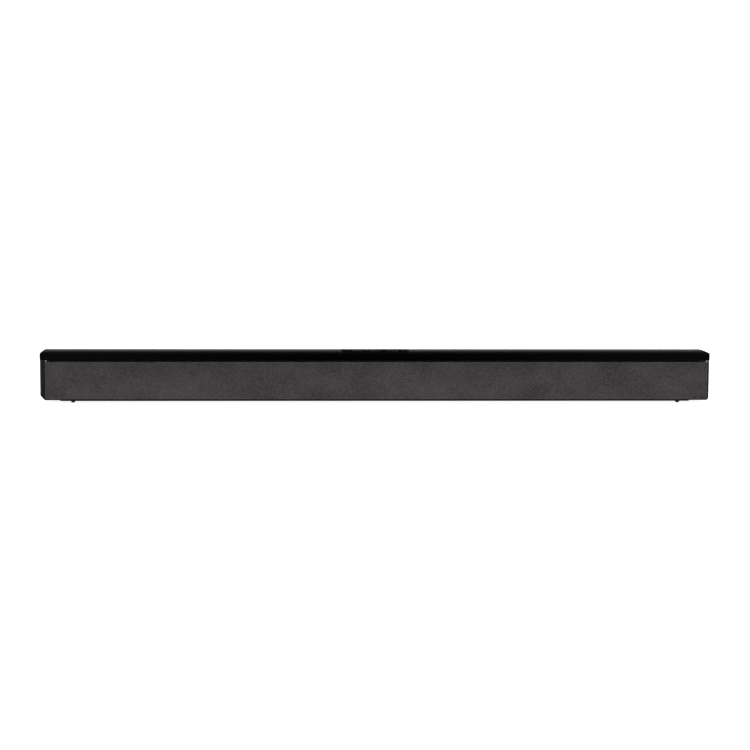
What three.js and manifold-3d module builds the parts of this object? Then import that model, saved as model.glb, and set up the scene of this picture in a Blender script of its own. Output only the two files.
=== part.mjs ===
// A slim two-channel soundbar with a gloss top cover, a cloth grille and four keys on top.
// Millimetres, +Z up, the front faces -Y.
// The origin is the centre of the footprint, on the surface that the soundbar stands on.

import * as THREE from "three";
import { mergeVertices } from "three/addons/utils/BufferGeometryUtils.js";
import Module from "manifold-3d";

const wasm = await Module();
wasm.setup();

// ---------------------------------------------------------------- driving dimensions

const WIDTH = 914; // over the top cover
const DEPTH = 84;
const HEIGHT = 68.5; // from the feet to the top cover's flat top
const GAP = 0.3; // left between neighbouring pieces
const WALL = 2.5; // the mouldings' wall

// Heights of the body's bands
const BASE_BOTTOM = 2.65; // the base plate, which stands proud of the body
const BODY_BOTTOM = 4.4;
const LEDGE = 1; // the front sill under the grille
const COVER_BAND = 9.2; // height of the top cover's skirt
const SHADOW_LINE = 2.4; // recessed bar between the grille and the cover
const COVER_BOTTOM = HEIGHT - COVER_BAND;
const BODY_TOP = COVER_BOTTOM - GAP;
const INSIDE_TOP = HEIGHT - WALL - GAP;
const GRILLE_BOTTOM = BODY_BOTTOM + LEDGE + GAP;
const GRILLE_TOP = BODY_TOP - SHADOW_LINE - GAP;
const GRILLE_MIDDLE = (GRILLE_BOTTOM + GRILLE_TOP) / 2;

// Depths, from the front to the back
const FRONT = -DEPTH / 2 + 0.5; // the cloth's face
const LEDGE_FRONT = FRONT + 0.2;
const SHADOW_FRONT = FRONT + 1.6;
const BAFFLE_FRONT = -31;
const BAFFLE_BACK = BAFFLE_FRONT + WALL;
const BACK = DEPTH / 2 - 1;
const PANEL_FRONT = BACK - WALL;

// Widths, as distances from the middle
const BODY_SIDE = WIDTH / 2 - 0.3;
const CLOTH_END = 451.3; // half the grille's width
const GRILLE_SHIFT = 2; // the grille's middle, to the right of the body's
const CHASSIS_END = 443;
const CAP_START = CHASSIS_END + GAP;

// Sound
const DRIVER_X = [290, 375];
const CHAMBER_X = 205;
const PORT_X = 250;
const PORT_Z = 32;
const PORT_RADIUS = 13;
const PORT_WALL = 1.8;
const PORT_FLARE = 3;
const PORT_LENGTH = 45;

// Controls
const KEYS = {
  power_key: { x: -38.3, width: 13 },
  source_key: { x: -12.2, width: 9 },
  volume_down_key: { x: 12.2, width: 9 },
  volume_up_key: { x: 38.3, width: 13 },
};
const KEY_LENGTH = 8.4;
const KEY_PROUD = 0.6;
const KEYS_Y = 6;
const PANEL_SIZE = [93, 74]; // the matt control panel let into the gloss cover
const PANEL_PROUD = 0.4;

// Connections, seen in the recess at the back
const RECESS_SIZE = [150, 30];
const RECESS_Z = 29;
const RECESS_FLOOR = 19.2;
const BOARD_TOP = 21.8;
const SOCKET_BOTTOM = BOARD_TOP + GAP;

// Feet, wall fixings and screws
const FOOT_SIZE = [5.4, 9];
const FOOT_PLACES = { front: -23.5, rear: 24 };
const FOOT_X = { left: -413, right: 415 };
const HOOK_X = 340;
const HOOK_Z = 34;
const HOOK_SIZE = [22, 12, 28];
const SCREW_X = { middle: 86, end: 425 };
const SCREW_Z = { upper: 51, lower: 24 };
const SIDES = { left: -1, right: 1 };

// ---------------------------------------------------------------- finishes

function finish(color, roughness, metalness = 0) {
  return new THREE.MeshStandardMaterial({ color, roughness, metalness });
}

const GLOSS_BLACK = finish(0x070606, 0.08);
const MATT_BLACK = finish(0x1a191a, 0.6);
const CHARCOAL_CLOTH = finish(0x3f3d3e, 0.95);
const GREY_PLASTIC = finish(0x8c8b89, 0.55);
const KEY_BLACK = finish(0x101010, 0.35);
const RUBBER = finish(0x141414, 0.85);
const STEEL = finish(0x9a9c9e, 0.35, 0.9);
const FERRITE = finish(0x2c2d2f, 0.5, 0.3);
const PAPER_CONE = finish(0x262626, 0.9);
const CIRCUIT_BOARD = finish(0x1c4a2c, 0.5);
const ALUMINIUM = finish(0xb4b6b8, 0.4, 0.9);
const SOCKET_BLACK = finish(0x0d0d0d, 0.5);

// ---------------------------------------------------------------- solids

// A closed geometry as a manifold-3d solid, with its faces turned outwards.
function solid(geometry) {
  const bare = geometry.clone();
  bare.deleteAttribute("normal");
  bare.deleteAttribute("uv");
  const merged = mergeVertices(bare, 1e-4);
  const corners = merged.index.array;
  const kept = [];
  for (let i = 0; i < corners.length; i += 3) {
    const [a, b, c] = corners.slice(i, i + 3);
    if (a !== b && b !== c && c !== a) kept.push(a, b, c);
  }
  const build = (triangles) =>
    new wasm.Manifold(
      new wasm.Mesh({
        numProp: 3,
        vertProperties: merged.attributes.position.array,
        triVerts: Uint32Array.from(triangles),
      }),
    );
  const made = build(kept);
  return made.volume() < 0 ? build(kept.reverse()) : made;
}

function geometryOf(made) {
  const { vertProperties, triVerts } = made.getMesh();
  return new THREE.BufferGeometry()
    .setAttribute("position", new THREE.BufferAttribute(vertProperties, 3))
    .setIndex(new THREE.BufferAttribute(triVerts, 1));
}

const join = (...parts) => geometryOf(parts.map(solid).reduce((all, part) => all.add(part)));
const common = (a, b) => geometryOf(solid(a).intersect(solid(b)));

function cut(base, ...tools) {
  return geometryOf(tools.map(solid).reduce((all, tool) => all.subtract(tool), solid(base)));
}

const around = (centre, size) => [centre - size / 2, centre + size / 2];
const moved = (geometry, x, y, z) => geometry.clone().translate(x, y, z);
const mirrored = (geometry) => geometry.clone().scale(-1, 1, 1);

function box([x0, x1], [y0, y1], [z0, z1]) {
  const block = new THREE.BoxGeometry(x1 - x0, y1 - y0, z1 - z0);
  return block.translate((x0 + x1) / 2, (y0 + y1) / 2, (z0 + z1) / 2);
}

// Turns a geometry built along Z to run along Y, with its outline seen from the front, or along X.
function turned(geometry, axis) {
  if (axis === "y") geometry.scale(1, 1, -1).rotateX(Math.PI / 2);
  if (axis === "x") {
    const [x, y, z] = [new THREE.Vector3(1, 0, 0), new THREE.Vector3(0, 1, 0), new THREE.Vector3(0, 0, 1)];
    geometry.applyMatrix4(new THREE.Matrix4().makeBasis(y, z, x));
  }
  return geometry;
}

function prism(shape, [from, to], axis = "z", curveSegments = 5) {
  const settings = { depth: to - from, bevelEnabled: false, curveSegments };
  return turned(new THREE.ExtrudeGeometry(shape, settings).translate(0, 0, from), axis);
}

function cylinder(radius, [from, to], axis = "z", segments = 12) {
  const along = new THREE.CylinderGeometry(radius, radius, to - from, segments).rotateX(Math.PI / 2);
  return turned(along.translate(0, 0, (from + to) / 2), axis);
}

// A closed profile of [radius, y] points, turned about Y.
function revolved(profile, segments = 14) {
  const closed = [...profile, profile[0]].map(([radius, y]) => new THREE.Vector2(radius, y));
  return new THREE.LatheGeometry(closed, segments);
}

function roundedRect(width, height, radius) {
  const [x, y] = [width / 2 - radius, height / 2 - radius];
  const shape = new THREE.Shape();
  shape.absarc(x, y, radius, 0, Math.PI / 2);
  shape.absarc(-x, y, radius, Math.PI / 2, Math.PI);
  shape.absarc(-x, -y, radius, Math.PI, Math.PI * 1.5);
  shape.absarc(x, -y, radius, Math.PI * 1.5, Math.PI * 2);
  return shape;
}

// A round-ended key or pad whose top edge is rounded, standing on z = 0.
function softBlock([width, length], height, corner, edge) {
  const shape = roundedRect(width - edge * 2, length - edge * 2, corner - edge);
  const bevel = { bevelThickness: edge, bevelSize: edge, bevelSegments: 2, curveSegments: 3 };
  const block = new THREE.ExtrudeGeometry(shape, { depth: height, ...bevel }).translate(0, 0, -edge);
  return common(block, box(around(0, width + 1), around(0, length + 1), [0, height]));
}

// ---------------------------------------------------------------- the model

const soundbar = new THREE.Group();

function place(name, geometry, material, [x, y, z] = [0, 0, 0], parent = soundbar) {
  const shown = geometryOf(solid(geometry)).toNonIndexed();
  shown.computeVertexNormals();
  const mesh = new THREE.Mesh(shown, material);
  mesh.name = name;
  mesh.position.set(x, y, z);
  parent.add(mesh);
}

// ---------------------------------------------------------------- screws

const SCREW = { head: 3.2, shank: 1.4, sink: 1.8, length: 9 };
const SCREW_PLACES = {
  rear_screw_upper_left_end: [-SCREW_X.end, SCREW_Z.upper],
  rear_screw_upper_left_middle: [-SCREW_X.middle, SCREW_Z.upper],
  rear_screw_upper_right_middle: [SCREW_X.middle, SCREW_Z.upper],
  rear_screw_upper_right_end: [SCREW_X.end, SCREW_Z.upper],
  rear_screw_lower_left: [-CHAMBER_X, SCREW_Z.lower],
  rear_screw_lower_right: [CHAMBER_X, SCREW_Z.lower],
};

// A countersunk screw whose head faces +Y, with its face on y = 0.
// Larger by room, it is the hole that the screw sits in.
function screwShape(room = 0, tip = -SCREW.length) {
  const [head, shank] = [SCREW.head + room, SCREW.shank + room];
  const face = room ? 1 : 0;
  const neck = -SCREW.sink - 0.3;
  return revolved([[0, face], [head, face], [head, -0.3], [shank, neck], [shank, tip], [0, tip]], 10);
}

function screw() {
  const slot = [1.1, 3.8];
  const cross = join(
    box(around(0, slot[1]), [-1.3, 1], around(0, slot[0])),
    box(around(0, slot[0]), [-1.3, 1], around(0, slot[1])),
  );
  return cut(screwShape(), cross);
}

const SCREW_FACE = BACK - 0.1;
const screwHole = screwShape(GAP, -SCREW.length - GAP);
const screwHoles = Object.values(SCREW_PLACES).map(([x, z]) => moved(screwHole, x, SCREW_FACE, z));

for (const [name, [x, z]] of Object.entries(SCREW_PLACES)) place(name, screw(), STEEL, [x, SCREW_FACE, z]);

// ---------------------------------------------------------------- top cover and keys

const COVER_CORNER = 4;
const COVER_EDGE = 1.2;
const BOSS = { x: 52.6, radius: 2.4 }; // hangs the control board from the cover
const LUG = { width: 14, back: PANEL_FRONT - GAP, thickness: 8, bottom: SCREW_Z.upper - 5 };

const PANEL_FLANGE = { rim: 1.6, bottom: HEIGHT - WALL - GAP - 1.1 };
const KEY_FLANGE = { rim: 1.5, thickness: 1.2 };
const KEY_BOTTOM = PANEL_FLANGE.bottom - GAP - KEY_FLANGE.thickness;
const KEY_PLUNGER = 1.5;
const SWITCH = { travel: 0.5, base: [6, 2], button: [1.7, 1] };
const CONTROL_BOARD_Z = KEY_BOTTOM - KEY_PLUNGER - SWITCH.travel - 0.1 - SWITCH.base[1] - SWITCH.button[1];

function topCover() {
  const shape = roundedRect(WIDTH - COVER_EDGE * 2, DEPTH - COVER_EDGE * 2, COVER_CORNER - COVER_EDGE);
  const bevel = { bevelThickness: COVER_EDGE, bevelSize: COVER_EDGE, bevelSegments: 3, curveSegments: 4 };
  const depth = COVER_BAND + 5;
  const block = new THREE.ExtrudeGeometry(shape, { depth, ...bevel });
  block.translate(0, 0, HEIGHT - COVER_EDGE - depth);
  const skirted = common(block, box(around(0, WIDTH + 2), around(0, DEPTH + 2), [COVER_BOTTOM, HEIGHT]));
  const insideSize = [WIDTH - WALL * 2, DEPTH - WALL * 2];
  const inside = box(around(0, insideSize[0]), around(0, insideSize[1]), [COVER_BOTTOM - 1, HEIGHT - WALL]);
  const holeSize = PANEL_SIZE.map((side) => side + GAP * 2);
  const panelHole = prism(roundedRect(...holeSize, 2.3), [HEIGHT - 5, HEIGHT + 1], "z", 3);
  const shell = cut(skirted, inside, panelHole);
  const lugX = [-SCREW_X.end, -SCREW_X.middle, SCREW_X.middle, SCREW_X.end];
  const lugs = lugX.map((x) =>
    box(around(x, LUG.width), [LUG.back - LUG.thickness, LUG.back], [LUG.bottom, HEIGHT - WALL + 0.5]),
  );
  const boss = cylinder(BOSS.radius, [CONTROL_BOARD_Z + GAP, HEIGHT - WALL + 0.5], "z", 10);
  const bosses = Object.values(SIDES).map((side) => moved(boss, side * BOSS.x, KEYS_Y, 0));
  return cut(join(shell, ...lugs, ...bosses), ...screwHoles);
}

function controlPanel() {
  const [width, length] = PANEL_SIZE;
  const rim = PANEL_FLANGE.rim * 2;
  const panel = softBlock([width, length], HEIGHT + PANEL_PROUD - PANEL_FLANGE.bottom, 2, 0.4);
  const flange = box(around(0, width + rim), around(0, length + rim), [0, 1.1]);
  const holes = Object.values(KEYS).map((key) => {
    const shape = roundedRect(key.width + GAP * 2, KEY_LENGTH + GAP * 2, 3.3);
    return moved(prism(shape, [-1, 8], "z", 2), key.x, KEYS_Y, 0);
  });
  return cut(join(panel, flange), ...holes);
}

// One key: the cap, the flange that keeps it in the panel and the plunger over its switch.
// z = 0 is the flange's underside.
function pushKey(width) {
  const cap = softBlock([width, KEY_LENGTH], HEIGHT + PANEL_PROUD + KEY_PROUD - KEY_BOTTOM, 3, 0.5);
  const rim = KEY_FLANGE.rim * 2;
  const flange = box(around(0, width + rim), around(0, KEY_LENGTH + rim), [0, KEY_FLANGE.thickness]);
  return join(cap, flange, cylinder(2, [-KEY_PLUNGER, 0.5], "z", 8));
}

// The board under the keys, with a push switch below each plunger.
function controlBoard() {
  const [side, baseHeight] = SWITCH.base;
  const [buttonRadius, buttonHeight] = SWITCH.button;
  const board = box(around(0, (BOSS.x + 3.4) * 2), around(0, 17), [-1.6, 0]);
  const base = box(around(0, side), around(0, side), [-0.2, baseHeight]);
  const button = cylinder(buttonRadius, [baseHeight - 0.2, baseHeight + buttonHeight], "z", 8);
  const pushSwitch = join(base, button);
  const switches = Object.values(KEYS).map((key) => moved(pushSwitch, key.x, 0, 0));
  return join(board, ...switches, box(around(24, 8), around(4.5, 5), [-5, -1.4]));
}

place("top_cover", topCover(), GLOSS_BLACK);
place("control_panel", controlPanel(), MATT_BLACK, [0, 0, PANEL_FLANGE.bottom]);
for (const [name, { x, width }] of Object.entries(KEYS)) {
  place(name, pushKey(width), KEY_BLACK, [x, KEYS_Y, KEY_BOTTOM]);
}
place("control_board", controlBoard(), CIRCUIT_BOARD, [0, KEYS_Y, CONTROL_BOARD_Z]);

// ---------------------------------------------------------------- end caps

const CLOTH = 0.6;
const FRAME = { end: CLOTH_END - CLOTH - GAP, front: FRONT + CLOTH + GAP, depth: 4, bar: 4, windows: 12 };
const TAB = {
  end: FRAME.end,
  width: 0.8,
  reach: 0.9,
  front: FRAME.front,
  back: FRAME.front + 2,
  top: BODY_TOP - 0.5,
};
const CAP_NOSE = { width: 4, depth: 6.5 };
const CAP_REAR_CORNER = 5;

// Each cap's foot: how much narrower it is than the top, and the cut and rounding of its outer corner.
const CAP_FOOT = {
  left: { taper: 0.4, cut: 6.6, round: 3 },
  right: { taper: 0.9, cut: 2.64, round: 4.5 },
};

// A cap for the right end. The left one is its mirror image with its own distance to the grille.
function endCap(clothEnd, foot) {
  const plan = new THREE.Shape();
  plan.moveTo(CAP_START, BACK);
  plan.lineTo(CAP_START, FRONT);
  const { width, depth } = CAP_NOSE;
  plan.absellipse(BODY_SIDE - width, FRONT + depth, width, depth, -Math.PI / 2, 0);
  plan.absarc(BODY_SIDE - CAP_REAR_CORNER, BACK - CAP_REAR_CORNER, CAP_REAR_CORNER, 0, Math.PI / 2);

  const front = new THREE.Shape();
  front.moveTo(CAP_START - 1, BODY_TOP);
  front.lineTo(CAP_START - 1, BODY_BOTTOM);
  const footSide = BODY_SIDE - foot.taper;
  const blend = foot.cut + foot.round * Math.tan(Math.PI / 8);
  front.absarc(footSide - blend, BODY_BOTTOM + foot.round, foot.round, -Math.PI / 2, -Math.PI / 4);
  front.absarc(footSide - foot.round, BODY_BOTTOM + blend, foot.round, -Math.PI / 4, 0);
  front.lineTo(BODY_SIDE, BODY_TOP);

  const block = common(prism(plan, [BODY_BOTTOM, BODY_TOP]), prism(front, [FRONT - 1, BACK + 1], "y"));
  const grilleEnd = clothEnd + GAP;
  const reach = [CAP_START - 1, grilleEnd];
  const sillTop = BODY_BOTTOM + LEDGE;
  const insideDepth = [FRONT + 5.5, BACK - 2.7];
  const inside = box([CAP_START - 1, BODY_SIDE - 2.7], insideDepth, [BODY_BOTTOM + WALL, BODY_TOP + 1]);
  const grillePocket = box(reach, [FRONT - 1, FRONT + 5.6], [sillTop, BODY_TOP - SHADOW_LINE]);
  const sillFace = box(reach, [FRONT - 1, LEDGE_FRONT], [BODY_BOTTOM - 1, sillTop + 1]);
  const shadowFace = box(reach, [FRONT - 1, SHADOW_FRONT], [GRILLE_TOP, BODY_TOP + 1]);
  const frameEnd = clothEnd - CLOTH - GAP;
  const tabWidth = [frameEnd - TAB.width - GAP, frameEnd + TAB.reach + GAP];
  const tabNotch = box(tabWidth, [FRONT - 1, TAB.back + GAP], [GRILLE_TOP, TAB.top + GAP]);
  return cut(block, inside, grillePocket, sillFace, shadowFace, tabNotch);
}

// ---------------------------------------------------------------- grille

const FRAME_BOTTOM = GRILLE_BOTTOM + CLOTH + GAP;
const FRAME_TOP = GRILLE_TOP - CLOTH - GAP;

// The moulded frame behind the cloth. Its two upper corner tabs rise through the cloth, step outwards
// and locate the frame in the end caps.
function grilleFrame() {
  const depth = [FRAME.front, FRAME.front + FRAME.depth];
  const block = box(around(0, FRAME.end * 2), depth, [FRAME_BOTTOM, FRAME_TOP]);
  const pitch = (FRAME.end * 2 - FRAME.bar) / FRAME.windows;
  const windows = [];
  for (let i = 0; i < FRAME.windows; i += 1) {
    const x = (i - (FRAME.windows - 1) / 2) * pitch;
    const height = [FRAME_BOTTOM + FRAME.bar, FRAME_TOP - FRAME.bar];
    windows.push(box(around(x, pitch - FRAME.bar), [FRAME.front - 1, depth[1] + 1], height));
  }
  const tabs = Object.values(SIDES).flatMap((side) => [
    box(
      around(side * (TAB.end - TAB.width / 2), TAB.width),
      [TAB.front, TAB.back],
      [FRAME_TOP - 1, TAB.top],
    ),
    box(
      around(side * (TAB.end + (TAB.reach - TAB.width) / 2), TAB.width + TAB.reach),
      [TAB.front, TAB.back],
      [GRILLE_TOP + GAP, TAB.top],
    ),
  ]);
  return join(cut(block, ...windows), ...tabs);
}

// The cloth, stretched over the frame's face and edges.
function grilleCloth() {
  const wrap = FRONT + CLOTH + GAP + 3;
  const outside = box(around(0, CLOTH_END * 2), [FRONT, wrap], [GRILLE_BOTTOM, GRILLE_TOP]);
  const insideHeight = [GRILLE_BOTTOM + CLOTH, GRILLE_TOP - CLOTH];
  const inside = box(around(0, (CLOTH_END - CLOTH) * 2), [FRONT + CLOTH, wrap + 1], insideHeight);
  const slits = Object.values(SIDES).map((side) =>
    box(
      around(side * (TAB.end - TAB.width / 2), TAB.width + GAP * 2),
      [TAB.front - GAP / 2, wrap + 1],
      [GRILLE_TOP - 2, GRILLE_TOP + 1],
    ),
  );
  return cut(outside, inside, ...slits);
}

const rightEndCap = endCap(CLOTH_END + GRILLE_SHIFT, CAP_FOOT.right);
const leftEndCap = mirrored(endCap(CLOTH_END - GRILLE_SHIFT, CAP_FOOT.left));

place("right_end_cap", rightEndCap, MATT_BLACK);
place("left_end_cap", leftEndCap, MATT_BLACK);
place("grille_frame", grilleFrame(), GREY_PLASTIC, [GRILLE_SHIFT, 0, 0]);
place("grille_cloth", grilleCloth(), CHARCOAL_CLOTH, [GRILLE_SHIFT, 0, 0]);

// ---------------------------------------------------------------- front baffle

const DRIVER_HOLE = 22.8;
const driverPlaces = Object.entries(SIDES).flatMap(([word, side]) =>
  DRIVER_X.map((x, i) => [`${word}_${i ? "outer" : "inner"}_driver`, side * x]),
);

// A channel: the upright board with the driver holes, the sill below the grille and the bar above it.
function frontBaffle() {
  const length = around(0, CHASSIS_END * 2);
  const board = box(length, [BAFFLE_FRONT, BAFFLE_BACK], [BODY_BOTTOM, INSIDE_TOP]);
  const sill = box(length, [LEDGE_FRONT, BAFFLE_BACK], [BODY_BOTTOM, BODY_BOTTOM + LEDGE]);
  const bar = box(length, [SHADOW_FRONT, BAFFLE_BACK], [BODY_TOP - SHADOW_LINE, BODY_TOP]);
  const holes = driverPlaces.map(([, x]) =>
    moved(cylinder(DRIVER_HOLE, [BAFFLE_FRONT - 1, BAFFLE_BACK + 1], "y", 20), x, 0, GRILLE_MIDDLE),
  );
  const panelWidth = around(0, PANEL_SIZE[0] + 8);
  const panelRoom = box(panelWidth, around(0, DEPTH), [PANEL_FLANGE.bottom - 0.5, HEIGHT]);
  return cut(join(board, sill, bar), panelRoom, ...holes);
}

place("front_baffle", frontBaffle(), MATT_BLACK);

// ---------------------------------------------------------------- chassis, base plate, feet

const BASE = { end: 426, front: -26, back: 34, top: 5.8 };
const BASE_RIM = { side: 4.5, front: 8, corner: 5, top: BODY_BOTTOM - GAP };
const CHASSIS_TOP = 8.1;
const CHASSIS_WINDOWS = { count: 8, width: 84, length: 16 };
const MAIN_BOARD = { end: 72, front: -25, back: 16.5 };
const POWER_BOARD = { x: [-195, -100], y: [-22, 25], z: 17.6 };
const BOARD_THICKNESS = 1.6;

function chassis() {
  const depth = [BAFFLE_BACK + GAP, PANEL_FRONT - GAP];
  const floor = box(around(0, CHASSIS_END * 2), depth, [BODY_BOTTOM, CHASSIS_TOP]);
  const recessDepth = [BASE.front - GAP, BASE.back + GAP];
  const recess = box(around(0, (BASE.end + GAP) * 2), recessDepth, [BODY_BOTTOM - 1, BASE.top + GAP]);
  const pitch = (BASE.end * 2) / CHASSIS_WINDOWS.count;
  const windows = [];
  for (let i = 0; i < CHASSIS_WINDOWS.count; i += 1) {
    const x = (i - (CHASSIS_WINDOWS.count - 1) / 2) * pitch;
    const { width, length } = CHASSIS_WINDOWS;
    windows.push(box(around(x, width), around(0, length), [BODY_BOTTOM, CHASSIS_TOP + 1]));
  }
  return cut(floor, recess, ...windows);
}

place("chassis", chassis(), MATT_BLACK);

const FOOT_POCKET = 0.9;
const footPlaces = Object.entries(FOOT_X).flatMap(([side, x]) =>
  Object.entries(FOOT_PLACES).map(([end, y]) => [`${end}_${side}_foot`, x, y]),
);

// The plate sits in the chassis. Its thin rim runs forward under the body.
function basePlate() {
  const middle = (BASE.front + BASE.back) / 2;
  const size = [BASE.end * 2, BASE.back - BASE.front];
  const core = moved(prism(roundedRect(...size, 3), [BASE_BOTTOM, BASE.top]), 0, middle, 0);
  const rimShape = roundedRect(size[0] + BASE_RIM.side * 2, size[1] + BASE_RIM.front, BASE_RIM.corner);
  const rim = moved(prism(rimShape, [BASE_BOTTOM, BASE_RIM.top]), 0, middle - BASE_RIM.front / 2, 0);
  const pocketSize = FOOT_SIZE.map((side) => side + GAP * 2);
  const pocketShape = roundedRect(...pocketSize, pocketSize[0] / 2 - 0.05);
  const pocket = prism(pocketShape, [BASE_BOTTOM - 1, BASE_BOTTOM + FOOT_POCKET], "z", 3);
  const pockets = footPlaces.map(([, x, y]) => moved(pocket, x, y, 0));
  return cut(join(core, rim), ...pockets);
}

place("base_plate", basePlate(), MATT_BLACK);

// A round-ended rubber pad, tapered below the base plate so that its sole is narrower.
function foot() {
  const top = BASE_BOTTOM + FOOT_POCKET - GAP;
  const edge = 0.5;
  const coreSize = FOOT_SIZE.map((side) => side - edge * 2);
  const shape = roundedRect(...coreSize, coreSize[0] / 2 - 0.05);
  const bevel = { bevelThickness: edge, bevelSize: edge, bevelSegments: 1, curveSegments: 3 };
  const block = new THREE.ExtrudeGeometry(shape, { depth: top, ...bevel }).translate(0, 0, edge);
  return common(block, box(around(0, 20), around(0, 40), [0, top]));
}

for (const [name, x, y] of footPlaces) place(name, foot(), RUBBER, [x, y, 0]);

// ---------------------------------------------------------------- chamber walls

// An upright wall that closes off a speaker chamber. Its boss takes a screw of the rear panel.
function chamberWall() {
  const back = PANEL_FRONT - GAP;
  const wall = box(around(0, WALL), [BAFFLE_BACK + GAP, back], [CHASSIS_TOP + GAP, INSIDE_TOP]);
  const boss = box(around(0, 8), [back - 9, back], around(SCREW_Z.lower, 8));
  return cut(join(wall, boss), moved(screwHole, 0, SCREW_FACE, SCREW_Z.lower));
}

for (const [word, side] of Object.entries(SIDES)) {
  place(`${word}_chamber_wall`, chamberWall(), MATT_BLACK, [side * CHAMBER_X, 0, 0]);
}

// ---------------------------------------------------------------- rear panels

const VENT = { count: 8, size: [3.6, 6], pitch: 9, z: 51 };
const REAR_SEAM = 96; // the middle panel meets a side panel here

// The back of the cabinet between two values of x.
function rearPanel(from, to) {
  const through = [PANEL_FRONT - 1, BACK + 1];
  const plate = box([from, to], [PANEL_FRONT, BACK], [BODY_BOTTOM, BODY_TOP]);
  const [recessWidth, recessHeight] = RECESS_SIZE.map((side) => side + GAP * 2);
  const recess = box(around(0, recessWidth), through, around(RECESS_Z, recessHeight));
  const portHole = cylinder(PORT_RADIUS + PORT_WALL + GAP, through, "y", 20);
  const holes = Object.values(SIDES).flatMap((side) => [
    moved(portHole, side * PORT_X, 0, PORT_Z),
    box(around(side * HOOK_X, HOOK_SIZE[0] + GAP * 2), through, around(HOOK_Z, HOOK_SIZE[2] + GAP * 2)),
  ]);
  const vents = [];
  for (let i = 0; i < VENT.count; i += 1) {
    const x = (i - (VENT.count - 1) / 2) * VENT.pitch;
    vents.push(box(around(x, VENT.size[0]), through, around(VENT.z, VENT.size[1])));
  }
  return cut(plate, recess, ...holes, ...vents, ...screwHoles);
}

// ---------------------------------------------------------------- bass ports

// A straight tube along Y with a flared mouth, its rear face at y = 0.
function bassPort() {
  const outer = PORT_RADIUS + PORT_WALL;
  const flare = [0, 35, 90].map((degrees) => {
    const angle = THREE.MathUtils.degToRad(degrees);
    return [PORT_RADIUS + PORT_FLARE * (1 - Math.sin(angle)) * 0.5, -PORT_FLARE * (1 - Math.cos(angle))];
  });
  return revolved([[outer, -PORT_LENGTH], [outer, 0], ...flare, [PORT_RADIUS, -PORT_LENGTH]], 20);
}

place("rear_panel", rearPanel(-REAR_SEAM, REAR_SEAM), MATT_BLACK);
place("right_rear_panel", rearPanel(REAR_SEAM + GAP, CHASSIS_END), MATT_BLACK);
place("left_rear_panel", rearPanel(-CHASSIS_END, -REAR_SEAM - GAP), MATT_BLACK);
for (const [word, side] of Object.entries(SIDES)) {
  place(`${word}_bass_port`, bassPort(), MATT_BLACK, [side * PORT_X, BACK - 0.1, PORT_Z]);
}

// ---------------------------------------------------------------- wall fixings

const KEYHOLE = { head: 4.5, neck: 2.3, drop: -6, rise: 4 };

// A closed box let into the rear panel.
// A screw's head goes in at the round end of its keyhole and is held behind the slot above.
function wallHook() {
  const [width, depth, height] = HOOK_SIZE;
  const block = box(around(0, width), [-depth, 0], around(0, height));
  const inside = box(around(0, width - 6), [-depth + 2, -1.8], around(0, height - 6));
  const entry = moved(cylinder(KEYHOLE.head, [-3, 1], "y", 16), 0, 0, KEYHOLE.drop);
  const neck = cylinder(KEYHOLE.neck, [-3, 1], "y", 12);
  const slot = box(around(0, KEYHOLE.neck * 2), [-3, 1], [KEYHOLE.drop, KEYHOLE.rise]);
  return cut(block, inside, entry, slot, moved(neck, 0, 0, KEYHOLE.rise));
}

for (const [word, side] of Object.entries(SIDES)) {
  place(`${word}_wall_hook`, wallHook(), STEEL, [side * HOOK_X, BACK - 0.1, HOOK_Z]);
}

// ---------------------------------------------------------------- connections

const SOCKET_X = { mains: -50, hdmi: -20, optical: 3, usb: 25, aux: 50 };
const SOCKET_FACE = RECESS_FLOOR + 1.3;
const SOCKET_SIZE = { mains: [25, 15.5], hdmi: [15.4, 6.8], optical: [11, 11], usb: [14.6, 7.4] };
const AUX = { body: 12, nose: 4, bore: 1.8 };

// A block standing on the main board, with its mouth at y = 0 facing +Y.
const socketBlock = ([width, height], depth) => box(around(0, width), [-depth, 0], [0, height]);

function mainsInlet() {
  const [width, height] = SOCKET_SIZE.mains;
  const mouth = prism(roundedRect(17.8, 9.4, 4.6), [-14, 1], "y", 4);
  const pins = [-4.3, 4.3].map((x) => moved(cylinder(1.2, [-15, -3], "y", 8), x, 0, height / 2));
  return join(cut(socketBlock([width, height], 17), moved(mouth, 0, 0, height / 2)), ...pins);
}

function hdmiSocket() {
  const [width, height] = SOCKET_SIZE.hdmi;
  const corners = [[-7, 2.3], [-7, -0.6], [-5.2, -2.3], [5.2, -2.3], [7, -0.6], [7, 2.3]];
  const outline = new THREE.Shape(corners.map(([x, z]) => new THREE.Vector2(x, z)));
  const mouth = moved(prism(outline, [-11, 1], "y"), 0, 0, height / 2);
  const tongue = box(around(0, 11.6), [-12, -1.5], around(height / 2 + 0.3, 1.3));
  return join(cut(socketBlock([width, height], 14), mouth), tongue);
}

function usbSocket() {
  const [width, height] = SOCKET_SIZE.usb;
  const mouth = box(around(0, 12.6), [-12, 1], around(height / 2, 5.2));
  const tongue = box(around(0, 11.2), [-13, -1], around(height / 2 + 1, 1.8));
  return join(cut(socketBlock([width, height], 15), mouth), tongue);
}

const SHUTTER = { width: 7.6, height: 6.2, thickness: 0.8, hinge: 8.8, inset: 1.4 };

// The optical socket's mouth is closed by a small sprung shutter that swings up and in.
function opticalSocket() {
  const mouth = box(around(0, 8.4), [-12, 1], [2, 9.8]);
  const pivot = moved(cylinder(0.8, [-4.9, 4.9], "x", 8), 0, -SHUTTER.inset, SHUTTER.hinge);
  return cut(socketBlock(SOCKET_SIZE.optical, 14), mouth, pivot);
}

// The shutter hangs from its pivot rod, which is the origin of its own frame.
function opticalShutter() {
  const rod = cylinder(0.5, [-4.6, 4.6], "x", 8);
  const flap = box(around(0, SHUTTER.width), around(0, SHUTTER.thickness), [-SHUTTER.height, 0]);
  return join(flap, rod);
}

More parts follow.
